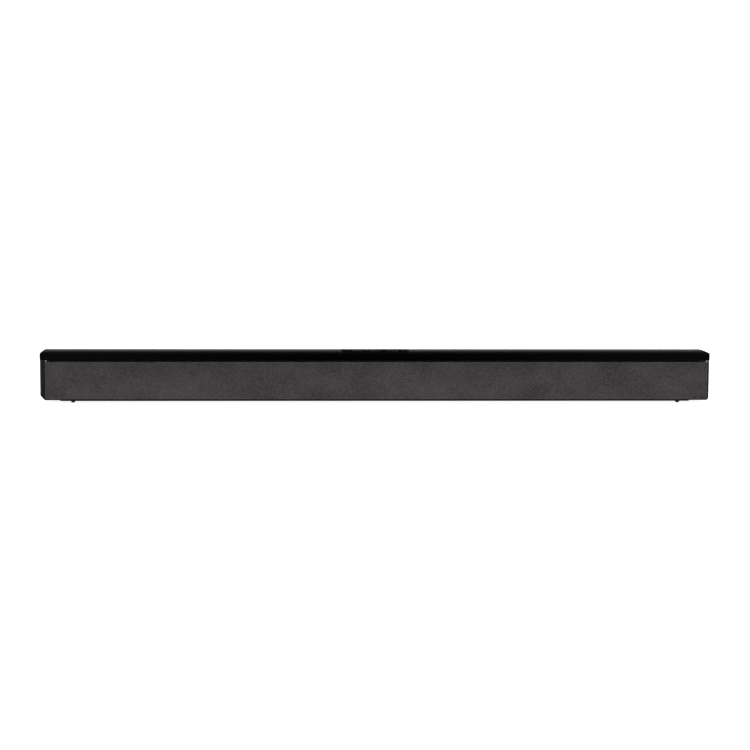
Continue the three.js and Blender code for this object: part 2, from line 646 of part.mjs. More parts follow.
function auxSocket() {
  const body = socketBlock([AUX.body, AUX.body], 12.7);
  const nose = moved(cylinder(AUX.nose, [-1, 3.4], "y"), 0, 0, AUX.body / 2);
  const bore = moved(cylinder(AUX.bore, [-11, 5], "y", 10), 0, 0, AUX.body / 2);
  return cut(join(body, nose), bore);
}

function connectorTray() {
  const [width, height] = RECESS_SIZE;
  const front = RECESS_FLOOR - 2.2;
  const block = box(around(0, width), [front, BACK - 0.1], around(RECESS_Z, height));
  const hollow = box(around(0, width - 4), [RECESS_FLOOR, BACK + 1], around(RECESS_Z, height - 4));
  const holes = Object.entries(SOCKET_SIZE).map(([name, [socketWidth, socketHeight]]) =>
    box(
      around(SOCKET_X[name], socketWidth + GAP * 2),
      [front - 1, RECESS_FLOOR + 1],
      [SOCKET_BOTTOM - GAP, SOCKET_BOTTOM + socketHeight + GAP],
    ),
  );
  const auxHole = cylinder(AUX.nose + GAP, [front - 1, RECESS_FLOOR + 1], "y");
  return cut(block, hollow, ...holes, moved(auxHole, SOCKET_X.aux, 0, SOCKET_BOTTOM + AUX.body / 2));
}

place("connector_tray", connectorTray(), MATT_BLACK);
place("mains_inlet", mainsInlet(), SOCKET_BLACK, [SOCKET_X.mains, SOCKET_FACE, SOCKET_BOTTOM]);
place("hdmi_socket", hdmiSocket(), STEEL, [SOCKET_X.hdmi, SOCKET_FACE, SOCKET_BOTTOM]);
place("usb_socket", usbSocket(), STEEL, [SOCKET_X.usb, SOCKET_FACE, SOCKET_BOTTOM]);
place("optical_socket", opticalSocket(), SOCKET_BLACK, [SOCKET_X.optical, SOCKET_FACE, SOCKET_BOTTOM]);
place("optical_shutter", opticalShutter(), SOCKET_BLACK, [
  SOCKET_X.optical,
  SOCKET_FACE - SHUTTER.inset,
  SOCKET_BOTTOM + SHUTTER.hinge,
]);
place("aux_socket", auxSocket(), SOCKET_BLACK, [SOCKET_X.aux, RECESS_FLOOR - 2.5, SOCKET_BOTTOM]);

// ---------------------------------------------------------------- boards

const HEAT_SINK = { lift: 2.4, size: [38, 20, 14], fins: 6, base: 3, slot: 4 };

// The spacers that carry a board above the chassis, in the board's frame.
function spacers([x0, x1], [y0, y1], boardTop) {
  const spacer = cylinder(3, [CHASSIS_TOP + GAP - boardTop, -BOARD_THICKNESS / 2], "z", 8);
  const inset = 5;
  const corners = [x0 + inset, x1 - inset].flatMap((x) => [y0 + inset, y1 - inset].map((y) => [x, y]));
  return corners.map(([x, y]) => moved(spacer, x, y, 0));
}

function mainBoard() {
  const { end, front, back } = MAIN_BOARD;
  const board = box(around(0, end * 2), [front, back], [-BOARD_THICKNESS, 0]);
  const legs = spacers([-end, end], [front, back], BOARD_TOP);
  const shieldedRadio = box([-64, -42], [-21, -4], [-0.2, 2.6]);
  const processor = box(around(-18, 14), around(-12, 14), [-0.2, 1.4]);
  const amplifier = box(around(40, 16), around(-11, 12), [-0.2, HEAT_SINK.lift]);
  const capacitors = [2, 13].map((x) => moved(cylinder(4, [-0.2, 11], "z", 10), x, -16, 0));
  const plugs = Object.values(SIDES).map((side) => box(around(side * 68, 6), around(-12, 9), [-0.2, 6]));
  return join(board, ...legs, shieldedRadio, processor, amplifier, ...capacitors, ...plugs);
}

function heatSink() {
  const [width, length, height] = HEAT_SINK.size;
  const block = box(around(0, width), around(0, length), [0, height]);
  const pitch = (width + HEAT_SINK.slot) / HEAT_SINK.fins;
  const slots = [];
  for (let i = 1; i < HEAT_SINK.fins; i += 1) {
    const x = i * pitch - (width + HEAT_SINK.slot) / 2;
    slots.push(box(around(x, HEAT_SINK.slot), around(0, length + 2), [HEAT_SINK.base, height + 1]));
  }
  return cut(block, ...slots);
}

function powerBoard() {
  const board = box(POWER_BOARD.x, POWER_BOARD.y, [-BOARD_THICKNESS, 0]);
  const legs = spacers(POWER_BOARD.x, POWER_BOARD.y, POWER_BOARD.z);
  const transformer = box(around(-140, 26), around(2, 22), [-0.2, 20]);
  const bobbin = box(around(-140, 32), around(2, 14), [-0.2, 14]);
  const reservoir = moved(cylinder(9, [-0.2, 26], "z", 12), -172, 0, 0);
  const outputCaps = [-10, 4, 18].map((y) => moved(cylinder(5, [-0.2, 16], "z", 10), -113, y, 0));
  return join(board, ...legs, transformer, bobbin, reservoir, ...outputCaps);
}

// A narrow board behind the grille, with three indicator lamps and the remote receiver.
function indicatorBoard() {
  const board = box(around(0, 60), [0, BOARD_THICKNESS], around(0, 9));
  const lamps = [-20, -12, -4].map((x) => box(around(x, 3), [-1, 0.2], around(0, 3)));
  const receiver = box(around(16, 7), [-2, 0.2], around(0, 6));
  return join(board, ...lamps, receiver);
}

place("main_board", mainBoard(), CIRCUIT_BOARD, [0, 0, BOARD_TOP]);
place("heat_sink", heatSink(), ALUMINIUM, [40, -11, BOARD_TOP + HEAT_SINK.lift + GAP]);
place("power_board", powerBoard(), CIRCUIT_BOARD, [0, 0, POWER_BOARD.z]);
place("indicator_board", indicatorBoard(), CIRCUIT_BOARD, [0, BAFFLE_FRONT - BOARD_THICKNESS - GAP, 48]);

// ---------------------------------------------------------------- loudspeaker drivers

// Each driver faces -Y. In its own frame y = 0 is the baffle's front face.
const FLANGE = { side: 47, front: -2, back: -GAP };
const TERMINAL = { y: [9, 15], z: [-22, -15] };

function driverBasket() {
  const mouth = FLANGE.back - 0.5;
  const outside = [[22, mouth], [22, 2.5], [14, 16], [14, 18], [8.5, 18]];
  const inside = [[8.5, 16.5], [12.6, 16], [20.8, 2.4], [20.8, mouth]];
  const shell = revolved([...outside, ...inside], 12);
  const flange = prism(roundedRect(FLANGE.side, FLANGE.side, 6), [FLANGE.front, FLANGE.back], "y", 2);
  const bore = cylinder(21.2, [FLANGE.front - 1, 1], "y", 16);
  const windows = [45, 135].map((degrees) =>
    box(around(0, 11), [4.5, 13], around(0, 60)).rotateY(THREE.MathUtils.degToRad(degrees)),
  );
  const terminal = box(around(0, 12), TERMINAL.y, TERMINAL.z);
  return join(cut(join(shell, flange), bore, ...windows), terminal);
}

// Ferrite ring and steel yoke, with the round gap that the voice coil moves in.
function driverMagnet() {
  const face = 18 + GAP;
  const back = face + 11;
  const pole = [[0, face - 1], [5.9, face - 1], [5.9, back - 2]];
  return revolved([...pole, [8, back - 2], [8, face], [16, face], [16, back], [0, back]]);
}

// Paper cone, dust cap and voice-coil former, which move as one.
const CONE = { rim: 17.4, throat: 7.4, former: 20.5 };

function driverCone() {
  const { rim, throat, former } = CONE;
  return revolved([
    [rim, -1.6],
    [throat, 7.2],
    [throat * 0.6, 4.8],
    [0, 4],
    [0, 4.7],
    [throat * 0.6, 5.6],
    [6.6, 8],
    [6.6, former],
    [7.3, former],
    [7.4, 8.2],
    [rim, -0.9],
  ]);
}

// Half-round rubber roll between the cone's rim and the flange.
function driverSurround() {
  const [inner, outer] = [CONE.rim + GAP, 20.6];
  const middle = (inner + outer) / 2;
  const radius = (outer - inner) / 2;
  const arch = (size, degrees) => {
    const angle = THREE.MathUtils.degToRad(degrees);
    return [middle - size * Math.cos(angle), -1 - size * Math.sin(angle)];
  };
  const over = [0, 60, 120, 180].map((degrees) => arch(radius, degrees));
  const under = [180, 90, 0].map((degrees) => arch(radius - 0.6, degrees));
  return revolved([...over, ...under]);
}

for (const [name, x] of driverPlaces) {
  const driver = new THREE.Group();
  driver.position.set(x, BAFFLE_FRONT, GRILLE_MIDDLE);
  soundbar.add(driver);
  place(`${name}_basket`, driverBasket(), STEEL, undefined, driver);
  place(`${name}_magnet`, driverMagnet(), FERRITE, undefined, driver);
  place(`${name}_cone`, driverCone(), PAPER_CONE, undefined, driver);
  place(`${name}_surround`, driverSurround(), RUBBER, undefined, driver);
}

export default soundbar;
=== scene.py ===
"""Looks for the soundbar: finishes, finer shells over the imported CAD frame, studio and camera."""

import math

import bmesh
import bpy
from mathutils import Matrix, Vector


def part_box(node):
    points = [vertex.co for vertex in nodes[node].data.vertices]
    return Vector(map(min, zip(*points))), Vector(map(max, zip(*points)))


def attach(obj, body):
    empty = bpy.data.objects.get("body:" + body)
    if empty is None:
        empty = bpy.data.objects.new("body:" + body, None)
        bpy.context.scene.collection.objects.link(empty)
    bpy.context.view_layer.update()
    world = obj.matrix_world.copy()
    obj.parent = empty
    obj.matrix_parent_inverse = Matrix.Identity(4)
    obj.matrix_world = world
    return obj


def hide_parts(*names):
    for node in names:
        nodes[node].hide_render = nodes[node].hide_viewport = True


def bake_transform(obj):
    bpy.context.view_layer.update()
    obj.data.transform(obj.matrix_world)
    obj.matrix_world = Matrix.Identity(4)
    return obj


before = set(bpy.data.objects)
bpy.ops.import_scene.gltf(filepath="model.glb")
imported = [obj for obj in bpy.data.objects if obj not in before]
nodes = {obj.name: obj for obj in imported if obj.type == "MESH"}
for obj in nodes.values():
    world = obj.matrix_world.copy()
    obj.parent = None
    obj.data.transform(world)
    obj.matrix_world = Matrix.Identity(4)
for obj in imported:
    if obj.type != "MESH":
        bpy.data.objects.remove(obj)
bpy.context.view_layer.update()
MM = 0.001
GAP = 0.3 * MM  # between neighbouring pieces
ROOT = "cabinet"
scene = bpy.context.scene
collection = scene.collection

# ---------------------------------------------------------------- finishes

NOISE_RANGE = (0.3, 0.7)  # nearly all the values of a noise texture lie in it
WAVE_TURN = math.tau / 20  # a wave texture's pitch times its scale


class Graph:
    """A node tree, emptied, and short ways to add to it."""

    def __init__(self, owner):
        owner.use_nodes = True
        self.tree = owner.node_tree
        self.tree.nodes.clear()

    def node(self, kind, **settings):
        made = self.tree.nodes.new(kind)
        for key, value in settings.items():
            setattr(made, key, value)
        return made

    def link(self, start, end):
        self.tree.links.new(start, end)

    def maths(self, operation, a, b):
        made = self.node("ShaderNodeMath", operation=operation)
        for socket, value in zip(made.inputs, (a, b)):
            if isinstance(value, (int, float)):
                socket.default_value = value
            else:
                self.link(value, socket)
        return made.outputs[0]

    def spread(self, value, low, high, bottom=0.0, top=1.0):
        made = self.node("ShaderNodeMapRange")
        for name, number in (("From Min", bottom), ("From Max", top), ("To Min", low), ("To Max", high)):
            made.inputs[name].default_value = number
        self.link(value, made.inputs["Value"])
        return made.outputs["Result"]


class Finish(Graph):
    """A principled material whose nodes are added one at a time."""

    def __init__(self, name, colour, roughness, metallic=0.0, specular=0.5):
        self.material = bpy.data.materials.new(name)
        super().__init__(self.material)
        self.output = self.node("ShaderNodeOutputMaterial")
        self.shader = self.node("ShaderNodeBsdfPrincipled")
        self.link(self.shader.outputs[0], self.output.inputs[0])
        self.colour = colour
        self.shader.inputs["Base Color"].default_value = (*colour, 1)
        self.shader.inputs["Roughness"].default_value = roughness
        self.shader.inputs["Metallic"].default_value = metallic
        self.shader.inputs["Specular IOR Level"].default_value = specular
        self.place = self.node("ShaderNodeTexCoord").outputs["Object"]

    def noise(self, size, detail=2.0, stretch=(1, 1, 1)):
        """Noise whose features are about size metres across, stretched along the axes."""
        mapping = self.node("ShaderNodeMapping")
        mapping.inputs["Scale"].default_value = [1 / s for s in stretch]
        texture = self.node("ShaderNodeTexNoise")
        texture.inputs["Scale"].default_value = 1 / size
        texture.inputs["Detail"].default_value = detail
        self.link(self.place, mapping.inputs["Vector"])
        self.link(mapping.outputs[0], texture.inputs["Vector"])
        return texture.outputs["Fac"]

    def waves(self, pitch, direction, distortion=0.0):
        """Bands that are pitch metres apart along one axis."""
        texture = self.node("ShaderNodeTexWave", wave_type="BANDS", bands_direction=direction)
        texture.inputs["Scale"].default_value = WAVE_TURN / pitch
        texture.inputs["Distortion"].default_value = distortion
        texture.inputs["Detail"].default_value = 0.0
        self.link(self.place, texture.inputs["Vector"])
        return texture.outputs["Fac"]

    def by_height(self, low, high, bottom, top):
        """Goes from low at the height bottom to high at the height top."""
        split = self.node("ShaderNodeSeparateXYZ")
        self.link(self.place, split.inputs[0])
        return self.spread(split.outputs["Z"], low, high, bottom, top)

    def tint(self, value, dark, light):
        """Varies the base colour between two multiples of it."""
        ramp = self.node("ShaderNodeValToRGB")
        for element, factor in zip(ramp.color_ramp.elements, (dark, light)):
            element.color = (*[min(1.0, c * factor) for c in self.colour], 1)
        self.link(value, ramp.inputs["Fac"])
        self.link(ramp.outputs["Color"], self.shader.inputs["Base Color"])
        return self

    def polish(self, value, low, high):
        """Varies the roughness between two values."""
        self.link(self.spread(value, low, high, *NOISE_RANGE), self.shader.inputs["Roughness"])
        return self

    def relief(self, height, depth, strength=1.0):
        """Bumps that are up to depth metres deep."""
        bump = self.node("ShaderNodeBump")
        bump.inputs["Distance"].default_value = depth
        bump.inputs["Strength"].default_value = strength
        self.link(height, bump.inputs["Height"])
        self.link(bump.outputs["Normal"], self.shader.inputs["Normal"])
        return self


def gloss_black():
    made = Finish("gloss_black", (0.0009, 0.0007, 0.0008), 0.05)
    made.polish(made.noise(0.03, 3), 0.042, 0.058)
    made.tint(made.noise(0.2), 0.9, 1.1)
    made.relief(made.noise(0.012, 1), 0.00001, 0.15)
    return made.material


def moulded(name, colour, roughness=0.55, grain=0.0005, depth=0.00006, specular=0.5):
    """Moulded plastic, rubber or paper with a fine grain."""
    made = Finish(name, colour, roughness, specular=specular)
    made.polish(made.noise(0.004, 3), roughness - 0.07, roughness + 0.07)
    made.tint(made.noise(0.03, 4), 0.85, 1.15)
    made.relief(made.noise(grain, 2), depth, 0.6)
    return made.material


def metal(name, colour, roughness, stretch=(8, 1, 1)):
    """Metal whose brushing runs along the axis that stretch lengthens."""
    made = Finish(name, colour, roughness, metallic=1.0)
    made.polish(made.noise(0.0006, 3, stretch), roughness - 0.08, roughness + 0.08)
    made.tint(made.noise(0.006, 3), 0.82, 1.05)
    made.relief(made.noise(0.0005, 2, stretch), 0.00001, 0.4)
    return made.material


def woven_cloth(name, brightness=1.0):
    """A plain weave of mixed dark and mid grey yarns, with painted shade that makes it slightly darker
    towards its top, under the top cover.
    """
    colour = [c * brightness for c in (0.0355, 0.0326, 0.0338)]
    made = Finish(name, colour, 0.95, specular=0.2)
    pitch = 0.75 * MM
    warp = made.waves(pitch, "X", 0.6)
    weft = made.waves(pitch, "Z", 0.6)
    crossing = made.maths("MULTIPLY", warp, weft)
    flecks = made.spread(made.noise(0.0014, 2), 0, 0.67, *NOISE_RANGE)
    slubs = made.spread(made.noise(0.0016, 2, (5, 1, 1)), 0, 0.15, *NOISE_RANGE)
    clouds = made.spread(made.noise(0.04, 2, (1.5, 1, 1)), 0, 0.37, *NOISE_RANGE)
    yarns = made.maths("ADD", flecks, slubs)
    weave = made.maths("ADD", made.maths("ADD", yarns, clouds), made.maths("MULTIPLY", crossing, 0.1))
    # painted shade: the weave darkens towards its top, where the top cover overhangs the cloth
    made.tint(made.maths("MULTIPLY", weave, made.by_height(1.07, 0.85, 6 * MM, 56 * MM)), 0.35, 1.65)
    made.relief(crossing, 0.0002, 0.8)
    made.shader.inputs["Sheen Weight"].default_value = 0.4
    made.shader.inputs["Sheen Roughness"].default_value = 0.35
    return made.material


def baffle_moulding_painted_shade():
    """Black moulding with painted shade: it turns darker towards its top, along the recessed shadow line
    under the top cover.
    """
    made = Finish("baffle_moulding_painted_shade", (0.0125, 0.012, 0.0125), 0.55, specular=0.3)
    # painted shade along the recessed shadow line under the top cover
    height = made.by_height(1, 0.12, 50 * MM, 56 * MM)
    made.tint(made.maths("MULTIPLY", height, made.spread(made.noise(0.03, 4), 0.85, 1)), 0.05, 1.1)
    made.polish(made.noise(0.004, 3), 0.48, 0.62)
    made.relief(made.noise(0.0005, 2), 0.00004, 0.6)
    return made.material


def circuit_board():
    made = Finish("green_board", (0.012, 0.075, 0.03), 0.45)
    tracks = made.maths("MAXIMUM", made.waves(0.0035, "X", 3.0), made.waves(0.004, "Y", 3.0))
    made.tint(made.spread(tracks, 0, 1, 0.6, 0.9), 0.7, 1.3)
    made.polish(made.noise(0.003), 0.38, 0.5)
    made.relief(tracks, 0.00004, 0.5)
    return made.material


def printed_ink():
    made = Finish("printed_ink", (0.7, 0.7, 0.7), 0.55)
    made.tint(made.noise(0.0008), 0.92, 1.05)
    return made.material


GLOSS = gloss_black()
MOULDED = moulded("black_moulding", (0.0125, 0.012, 0.0125))
CAP = moulded("cap_moulding", (0.0085, 0.0082, 0.0085), specular=0.4)
BAFFLE = baffle_moulding_painted_shade()
SATIN = moulded("satin_moulding", (0.0017, 0.0016, 0.0017), 0.18, 0.0004, 0.00001, 0.008)
REAR = moulded("rear_moulding", (0.026, 0.0255, 0.0265), 0.6, 0.0007, 0.00008)
GREY = moulded("grey_moulding", (0.33, 0.32, 0.31), 0.5)
CLOTH = woven_cloth("charcoal_weave")
# painted highlight: a lighter copy of the cloth for its turned edge, where it rolls over the frame
FOLD_HIGHLIGHT = woven_cloth("charcoal_weave_painted_highlight", 1.35)
KEY = moulded("key_plastic", (0.0045, 0.0043, 0.0045), 0.6, 0.0006, 0.00001, 0.1)
INK = printed_ink()
RUBBER = moulded("foot_rubber", (0.012, 0.012, 0.0125), 0.8, 0.0003, 0.00003)
STEEL = metal("zinc_steel", (0.52, 0.53, 0.54), 0.36)
BLACK_STEEL = metal("blackened_steel", (0.05, 0.05, 0.052), 0.42)
FERRITE = metal("ferrite", (0.06, 0.06, 0.065), 0.55, (1, 1, 1))
PAPER = moulded("cone_paper", (0.022, 0.022, 0.022), 0.85, 0.0008, 0.0001)
BOARD = circuit_board()
ALUMINIUM = metal("aluminium", (0.72, 0.73, 0.74), 0.34, (1, 12, 1))
SOCKET = moulded("socket_plastic", (0.0075, 0.0075, 0.008), 0.42, 0.0005, 0.00002)
CONTACT = metal("gold_contact", (0.75, 0.52, 0.2), 0.25)

# ---------------------------------------------------------------- mesh tools


def new_piece(name, vertices, faces, material, sharp=35):
    mesh = bpy.data.meshes.new(name)
    mesh.from_pydata([tuple(v) for v in vertices], [], faces)
    mesh.validate()
    piece = bpy.data.objects.new(name, mesh)
    collection.objects.link(piece)
    tidy_normals(piece, sharp)
    mesh.materials.append(material)
    return piece


def tidy_normals(piece, sharp=35):
    """Closes seams, drops loose edges and keeps the edges that are steeper than sharp degrees sharp."""
    work = bmesh.new()
    work.from_mesh(piece.data)
    bmesh.ops.remove_doubles(work, verts=work.verts, dist=1e-7)
    loose = [edge for edge in work.edges if not edge.link_faces]
    bmesh.ops.delete(work, geom=loose, context="EDGES")
    bmesh.ops.recalc_face_normals(work, faces=work.faces)
    work.to_mesh(piece.data)
    work.free()
    piece.data.shade_smooth()
    piece.data.set_sharp_from_angle(angle=math.radians(sharp))


def apply_modifiers(piece):
    bpy.context.view_layer.update()
    graph = bpy.context.evaluated_depsgraph_get()
    finished = bpy.data.meshes.new_from_object(piece.evaluated_get(graph))
    old = piece.data
    piece.modifiers.clear()
    piece.data = finished
    bpy.data.meshes.remove(old)
    return piece


def combine(piece, operation, *others):
    for other in others:
        modifier = piece.modifiers.new("combine", "BOOLEAN")
        modifier.operation = operation
        modifier.object = other
        modifier.solver = "EXACT"
    apply_modifiers(piece)
    for other in others:
        bpy.data.objects.remove(other)
    return piece


def soften(piece, width, angle):
    """Rounds off the edges that are steeper than angle degrees."""
    modifier = piece.modifiers.new("soften", "BEVEL")
    modifier.width = width
    modifier.segments = 2
    modifier.limit_method = "ANGLE"
    modifier.angle_limit = math.radians(angle)
    modifier.harden_normals = True
    return apply_modifiers(piece)


def rounded_rect(width, height, radius, steps=8, centre=(0, 0)):
    """Points round a rectangle with rounded corners, anticlockwise from its right side."""
    radius = max(radius, 1e-6)
    points = []
    for quarter, (sx, sy) in enumerate(((1, 1), (-1, 1), (-1, -1), (1, -1))):
        cx = centre[0] + sx * (width / 2 - radius)
        cy = centre[1] + sy * (height / 2 - radius)
        for step in range(steps + 1):
            angle = (quarter + step / steps) * math.pi / 2
            points.append((cx + radius * math.cos(angle), cy + radius * math.sin(angle)))
    return points


def loft(name, rings, material, start="cap", end="cap", sharp=35):
    """Joins rings that have the same number of points. start and end are cap, open or, for both, join."""
    count = len(rings[0])
    vertices = [v for one in rings for v in one]
    faces = []
    pairs = list(zip(range(len(rings) - 1), range(1, len(rings))))
    if start == "join":
        pairs.append((len(rings) - 1, 0))
    for a, b in pairs:
        for i in range(count):
            j = (i + 1) % count
            faces.append((a * count + i, a * count + j, b * count + j, b * count + i))
    if start == "cap":
        faces.append(tuple(reversed(range(count))))
    if end == "cap":
        faces.append(tuple(range((len(rings) - 1) * count, len(rings) * count)))
    return new_piece(name, vertices, faces, material, sharp)


def fillet(radius, steps=5):
    """(how far in, how far along) the points of a quarter round, from its side to its end face."""
    angles = [math.pi / 2 * i / steps for i in range(steps + 1)]
    return [(radius * (1 - math.cos(a)), radius * math.sin(a)) for a in angles]


def block(name, x, y, z, material=None):
    corners = [Vector((a, b, c)) for c in z for b in y for a in x]
    faces = [(0, 2, 3, 1), (4, 5, 7, 6), (0, 1, 5, 4), (2, 6, 7, 3), (0, 4, 6, 2), (1, 3, 7, 5)]
    return new_piece(name, corners, faces, material or MOULDED)


def revolve_y(name, profile, centre, material, segments=48, sharp=35):
    """Turns a closed profile of (radius, y) points about a line along Y through centre."""
    rings = []
    for i in range(segments):
        angle = math.tau * i / segments
        direction = Vector((math.cos(angle), 0, math.sin(angle)))
        rings.append([Vector(centre) + direction * r + Vector((0, y, 0)) for r, y in profile])
    return loft(name, rings, material, start="join", end="join", sharp=sharp)


def finish_piece(piece, body, slot, *replaced):
    """Says which body a piece rides on and hides the CAD nodes that it replaces. The slot argument is not
    used.
    """
    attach(piece, body)
    if replaced:
        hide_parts(*replaced)
    return piece


# ---------------------------------------------------------------- top cover

cover_low, cover_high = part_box("top_cover")
panel_low, panel_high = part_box("control_panel")
cover_width = cover_high.x - cover_low.x
cover_depth = cover_high.y - cover_low.y
cover_top = cover_high.z
cover_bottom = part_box("right_end_cap")[1].z + GAP
CROWN = 0.35 * MM  # how much higher the top is along its middle than at its front and rear edges
CROWN_CUTS = 20  # on each side of the middle, so that the top can bend
PANEL_RIM = 1.6 * MM  # the control panel's flange under the cover


def build_top_cover():
    """The cover's shell, without the hidden screw lugs and bosses of the CAD node."""
    edge = 0.9 * MM
    corner = 4 * MM
    wall = 2.5 * MM
    lip = 0.35 * MM  # rounding of the skirt's lower edge
    straight = 0.6 * MM  # flat stretch beside a rounding
    hole_corner, hole_edge, hole_margin = 2.3 * MM, 0.25 * MM, 0.7 * MM
    hole_width = panel_high.x - panel_low.x - 2 * PANEL_RIM + 2 * GAP
    hole_depth = panel_high.y - panel_low.y - 2 * PANEL_RIM + 2 * GAP
    hole_centre = (0, (panel_high.y + panel_low.y) / 2)

    def outline(inset, z):
        points = rounded_rect(cover_width - 2 * inset, cover_depth - 2 * inset, corner - inset, 12)
        return [Vector((x, y, z)) for x, y in points]

    def hole(grow, z):
        size = (hole_width + 2 * grow, hole_depth + 2 * grow)
        points = rounded_rect(*size, hole_corner + grow, 12, hole_centre)
        return [Vector((x, y, z)) for x, y in points]

    rings = [outline(wall, cover_top - wall), outline(wall, cover_bottom + lip)]
    rings += [outline(wall - lip, cover_bottom), outline(lip, cover_bottom)]
    rings += [outline(s, cover_bottom + lip - t) for s, t in reversed(fillet(lip, 4))]
    rings += [outline(0, cover_bottom + 2 * straight), outline(0, cover_top - edge - straight)]
    rings += [outline(s, cover_top - edge + t) for s, t in fillet(edge, 12)]
    rings += [outline(edge + straight, cover_top)]
    rings += [hole(hole_margin, cover_top)]
    rings += [hole(hole_edge - t, cover_top - s) for s, t in fillet(hole_edge, 3)]
    rings += [hole(0, cover_top - wall)]
    piece = loft("top_cover_shell", rings, GLOSS, start="join", end="join", sharp=50)

    work = bmesh.new()
    work.from_mesh(piece.data)
    for step in range(-CROWN_CUTS, CROWN_CUTS + 1):
        y = step / (CROWN_CUTS + 0.5) * (cover_depth / 2 - edge)
        everything = work.verts[:] + work.edges[:] + work.faces[:]
        bmesh.ops.bisect_plane(work, geom=everything, plane_co=(0, y, 0), plane_no=(0, 1, 0), dist=1e-7)
    for vertex in work.verts:
        share = (vertex.co.z - (cover_top - edge)) / edge
        vertex.co.z += CROWN * (1 - (vertex.co.y / (cover_depth / 2)) ** 2) * max(0.0, share)
    work.to_mesh(piece.data)
    work.free()
    tidy_normals(piece, 50)
    finish_piece(piece, ROOT, "gloss_cover", "top_cover")


build_top_cover()

# ---------------------------------------------------------------- control panel and keys

KEYS = ("power_key", "source_key", "volume_down_key", "volume_up_key")
KEY_RIM = 1.5 * MM  # a key's flange under the panel
KEY_CORNER = 3 * MM
INK_THICKNESS = 0.03 * MM
STROKE = 0.3  # width of an icon's lines in millimetres


def build_control_panel():
    width = panel_high.x - panel_low.x - 2 * PANEL_RIM
    depth = panel_high.y - panel_low.y - 2 * PANEL_RIM
    centre = (0, (panel_low.y + panel_high.y) / 2)
    corner, edge, straight = 2 * MM, 0.4 * MM, 0.3 * MM
    flange_corner = 1 * MM

    def outline(grow, radius, z):
        points = rounded_rect(width + 2 * grow, depth + 2 * grow, radius, 8, centre)
        return [Vector((x, y, z)) for x, y in points]

    base = panel_low.z
    ledge = base + 1.1 * MM
    rings = [outline(PANEL_RIM, flange_corner, base), outline(PANEL_RIM, flange_corner, ledge)]
    rings += [outline(0, corner, ledge), outline(0, corner, panel_high.z - edge - straight)]
    rings += [outline(-s, corner - s, panel_high.z - edge + t) for s, t in fillet(edge, 4)]
    piece = loft("control_panel_inlay", rings, SATIN)
    cutters = []
    for key in KEYS:
        key_low, key_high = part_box(key)
        x, y = (key_low.x + key_high.x) / 2, (key_low.y + key_high.y) / 2
        size = [across - 2 * KEY_RIM + 2 * GAP for across in (key_high - key_low).xy]
        points = rounded_rect(*size, KEY_CORNER + GAP, 8, (x, y))
        sides = [[Vector((u, v, z)) for u, v in points] for z in (base - MM, panel_high.z + MM)]
        cutters.append(loft("cutter", sides, SATIN))
    combine(piece, "DIFFERENCE", *cutters)
    tidy_normals(piece)
    finish_piece(piece, ROOT, "black_moulding", "control_panel")


def build_key(key):
    """A dished key cap with its flange, without the hidden plunger of the CAD node."""
    key_low, key_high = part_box(key)
    centre = ((key_low.x + key_high.x) / 2, (key_low.y + key_high.y) / 2)
    width = key_high.x - key_low.x - 2 * KEY_RIM
    length = key_high.y - key_low.y - 2 * KEY_RIM
    plunger = 1.5 * MM
    base = key_low.z + plunger
    ledge = base + 1.2 * MM
    flange_corner = 0.5 * MM
    edge, straight = 0.5 * MM, 0.3 * MM
    dish = 0.12 * MM

    def outline(grow, radius, z):
        points = rounded_rect(width + 2 * grow, length + 2 * grow, radius, 8, centre)
        return [Vector((x, y, z)) for x, y in points]

    rings = [outline(KEY_RIM, flange_corner, base), outline(KEY_RIM, flange_corner, ledge)]
    rings += [outline(0, KEY_CORNER, ledge), outline(0, KEY_CORNER, key_high.z - edge - straight)]
    rings += [outline(-s, KEY_CORNER - s, key_high.z - edge + t) for s, t in fillet(edge, 5)]
    rings += [outline(-edge - 0.4 * MM, 2 * MM, key_high.z - dish * 0.3)]
    rings += [outline(-edge - 1.3 * MM, 1.2 * MM, key_high.z - dish)]
    piece = loft(key + "_cap", rings, KEY)
    finish_piece(piece, key, "key_plastic", key)
    return centre, key_high.z - dish


def bars(centre, top, strokes):
    """Thin printed bars, each (x, y, width, height) in millimetres from the key's centre."""
    corner = 0.12 * MM
    parts = []
    for x, y, width, height in strokes:
        place = (centre[0] + x * MM, centre[1] + y * MM)
        points = rounded_rect(width * MM, height * MM, corner, 3, place)
        parts.append([[Vector((u, v, z)) for u, v in points] for z in (top, top + INK_THICKNESS)])
    return parts


def arc_rings(centre, top, radius, width, start, stop, steps=20):
    """One printed arc as rings across its stroke."""
    rings = []
    for i in range(steps + 1):
        angle = math.radians(start + (stop - start) * i / steps)
        out = Vector((math.cos(angle), math.sin(angle), 0))
        middle = Vector((centre[0], centre[1], top)) + out * radius
        side = out * width / 2
        up = Vector((0, 0, INK_THICKNESS))
        rings.append([middle - side, middle + side, middle + side + up, middle - side + up])
    return rings


def merge(name, material, *groups):
    """One piece made of several capped lofts."""
    parts = [loft("part", rings, material) for rings in groups]
    work = bmesh.new()
    for part in parts:
        work.from_mesh(part.data)
    mesh = bpy.data.meshes.new(name)
    work.to_mesh(mesh)
    work.free()
    for part in parts:
        bpy.data.objects.remove(part)
    piece = bpy.data.objects.new(name, mesh)
    collection.objects.link(piece)
    tidy_normals(piece)
    mesh.materials.append(material)
    return piece


